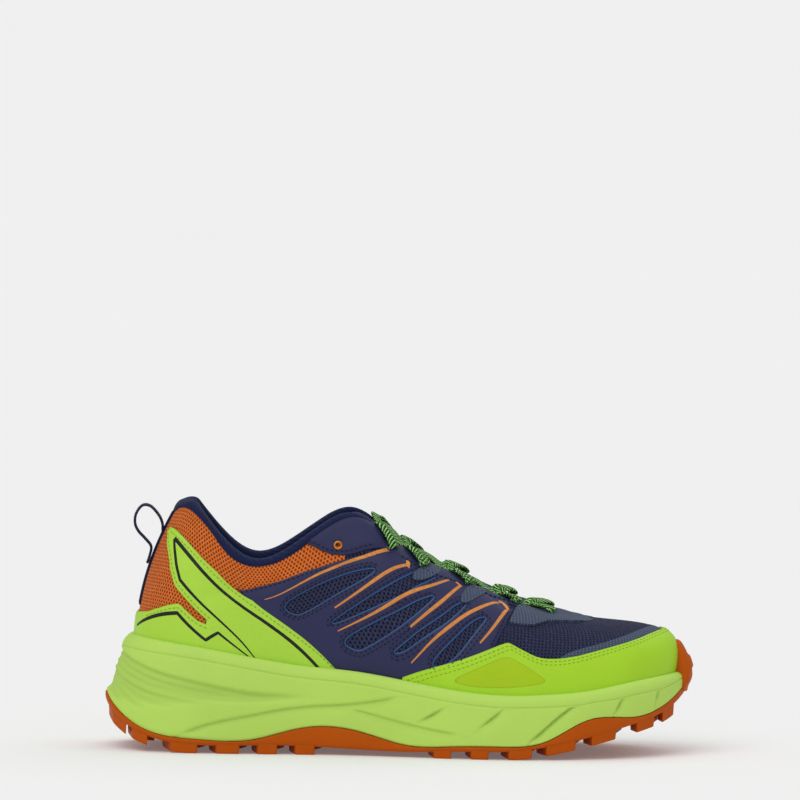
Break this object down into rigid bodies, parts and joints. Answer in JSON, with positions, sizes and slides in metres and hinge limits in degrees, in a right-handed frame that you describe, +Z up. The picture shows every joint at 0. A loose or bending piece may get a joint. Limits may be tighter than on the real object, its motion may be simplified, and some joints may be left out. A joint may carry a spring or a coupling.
{
  "type": "trail running shoe",
  "caption": "Low trail running shoe for the right foot with a lugged sole, high foam midsole, hollow laced mesh upper, welded overlays and a heel pull loop.",
  "frame": {"origin": "centre of the shoe's bounding box in plan, on the floor under the lugs", "axes": "+X towards the toe, +Y towards the inner side of the foot, +Z up"},
  "size_m": [0.2996, 0.1134, 0.1276],
  "materials": {
    "mesh_fabric": "woven mesh, matte",
    "foam": "moulded foam, matte",
    "outsole_rubber": "moulded rubber, satin",
    "sockliner": "brushed cloth",
    "tongue_fabric": "padded knit",
    "lime_film": "welded film, satin",
    "navy_film": "welded film, satin",
    "ring_metal": "lacquered",
    "lace_cord": "braided, two colours",
    "webbing": "woven tape"
  },
  "bodies": {
    "root": {"upper": "mesh_fabric", "midsole": "foam", "outsole": "outsole_rubber", "insole": "sockliner", "tongue": "tongue_fabric", "heel_overlay": "lime_film", "toe_rand": "lime_film", "quarter_overlay_lateral": "navy_film", "quarter_overlay_medial": "navy_film", "eyestay_lateral": "navy_film", "eyestay_medial": "navy_film", "eyelet_ring_lateral": "ring_metal", "eyelet_ring_medial": "ring_metal", "laces": "lace_cord", "heel_tape": "webbing", "heel_loop": "webbing"}
  },
  "joints": []
}
